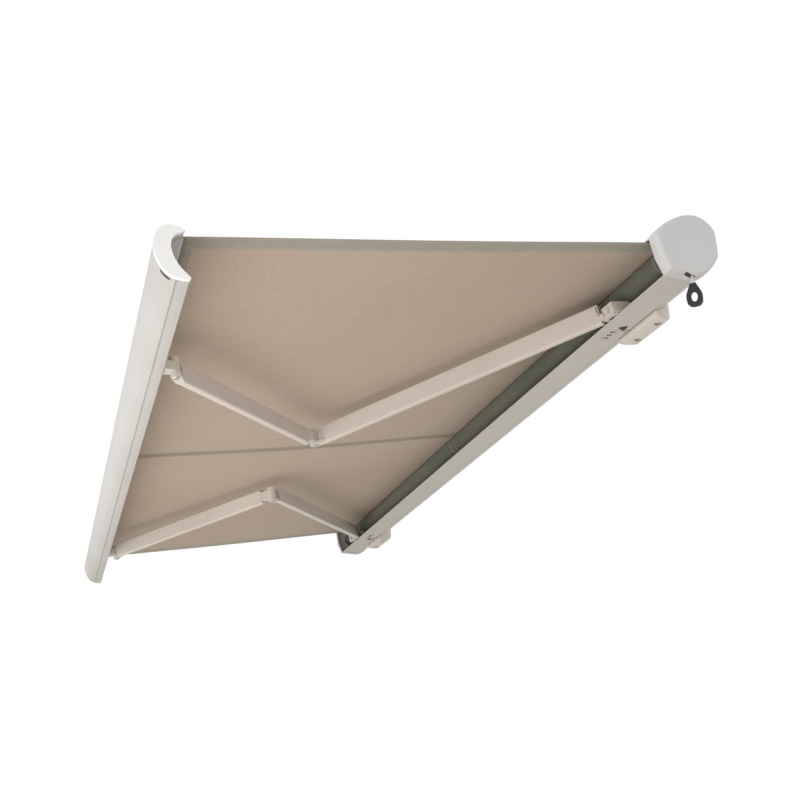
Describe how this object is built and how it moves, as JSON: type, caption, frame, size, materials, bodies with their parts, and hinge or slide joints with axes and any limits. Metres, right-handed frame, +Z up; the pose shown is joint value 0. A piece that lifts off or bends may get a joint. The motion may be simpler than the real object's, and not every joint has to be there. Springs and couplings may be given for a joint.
{
  "type": "canvas awning",
  "caption": "Folding-arm awning, partly extended: a rounded wall cassette with roller, elbowed arms, a curved front bar, a crank eye and a plain canvas canopy.",
  "frame": {"origin": "middle of the cassette's flat back, where it lies against the wall", "axes": "+X along the cassette towards the crank end, +Y into the wall, +Z up; the canopy slopes down towards -Y"},
  "size_m": [3.6075, 1.687, 0.5111],
  "materials": {
    "powder_coat": "satin white powder coat",
    "cast_white": "satin white",
    "plain_aluminium": "mill finish",
    "steel": "zinc plated",
    "dark_plastic": "matt",
    "canvas": "plain woven"
  },
  "bodies": {
    "cassette": {"back_profile": "powder_coat", "hood": "powder_coat", "base_rail": "powder_coat", "right_end_cap": "cast_white", "left_end_cap": "cast_white", "gearbox_housing": "dark_plastic", "idler_bearing": "dark_plastic", "canopy": "canvas", "right_wall_bracket": "cast_white", "right_bracket_bolt_1": "steel", "right_bracket_bolt_2": "steel", "right_shoulder_bracket": "cast_white", "right_shoulder_pin": "steel", "right_shoulder_screw_1": "steel", "right_shoulder_screw_2": "steel", "left_wall_bracket": "cast_white", "left_bracket_bolt_1": "steel", "left_bracket_bolt_2": "steel", "left_shoulder_bracket": "cast_white", "left_shoulder_pin": "steel", "left_shoulder_screw_1": "steel", "left_shoulder_screw_2": "steel"},
    "roller": {"roller_tube": "plain_aluminium", "fabric_roll": "canvas", "drive_plug": "steel", "idler_plug": "steel", "worm_wheel": "steel"},
    "crank": {"crank_eye": "dark_plastic"},
    "right_rear": {"right_rear_arm": "powder_coat", "right_shoulder_knuckle": "cast_white", "right_elbow_fork": "cast_white", "right_elbow_pin": "steel"},
    "right_front": {"right_front_arm": "powder_coat", "right_elbow_knuckle": "cast_white", "right_front_knuckle": "cast_white", "right_arm_spring": "steel"},
    "left_rear": {"left_rear_arm": "powder_coat", "left_shoulder_knuckle": "cast_white", "left_elbow_fork": "cast_white", "left_elbow_pin": "steel"},
    "left_front": {"left_front_arm": "powder_coat", "left_elbow_knuckle": "cast_white", "left_front_knuckle": "cast_white", "left_arm_spring": "steel"},
    "bar": {"front_bar": "powder_coat", "canopy_rail": "powder_coat", "right_bar_cap": "cast_white", "right_bar_bracket": "cast_white", "right_front_pin": "steel", "left_bar_cap": "cast_white", "left_bar_bracket": "cast_white", "left_front_pin": "steel"}
  },
  "joints": [
    {"name": "right_shoulder", "type": "hinge", "parent": "cassette", "child": "right_rear", "pos_m": [1.463, -0.196, -0.0885], "axis": [0, -0.2079, 0.9781], "range_deg": [-34.1, 0], "deforming": ["canopy"]},
    {"name": "right_elbow", "type": "hinge", "parent": "right_rear", "child": "right_front", "pos_m": [0.39069, -0.92092, -0.24259], "axis": [0, -0.2079, 0.9781], "range_deg": [0, 72.9]},
    {"name": "right_bar_pivot", "type": "hinge", "parent": "right_front", "child": "bar", "pos_m": [1.177, -1.55258, -0.37685], "axis": [0, -0.2079, 0.9781], "range_deg": [-38.8, 0]},
    {"name": "left_shoulder", "type": "hinge", "parent": "cassette", "child": "left_rear", "pos_m": [-1.463, -0.196, -0.0885], "axis": [0, -0.2079, 0.9781], "range_deg": [0, 34.1]},
    {"name": "left_elbow", "type": "hinge", "parent": "left_rear", "child": "left_front", "pos_m": [-0.39069, -0.92092, -0.24259], "axis": [0, -0.2079, 0.9781], "range_deg": [-72.9, 0]},
    {"name": "roller_turn", "type": "hinge", "parent": "cassette", "child": "roller", "pos_m": [0, -0.132, -0.0341], "axis": [1, 0, 0], "range_deg": [-1883, 0]},
    {"name": "crank_turn", "type": "hinge", "parent": "cassette", "child": "crank", "pos_m": [1.78476, -0.104, -0.1265], "axis": [0, 0, 1], "range_deg": [-13180, 0]}
  ],
  "couplings": [
    {"joint": "right_elbow", "follows": "right_shoulder", "ratio": -2.137},
    {"joint": "right_bar_pivot", "follows": "right_shoulder", "ratio": 1.137},
    {"joint": "left_shoulder", "follows": "right_shoulder", "ratio": -1},
    {"joint": "left_elbow", "follows": "right_shoulder", "ratio": 2.137},
    {"joint": "roller_turn", "follows": "right_shoulder", "ratio": 55.2},
    {"joint": "crank_turn", "follows": "right_shoulder", "ratio": 386.4}
  ]
}
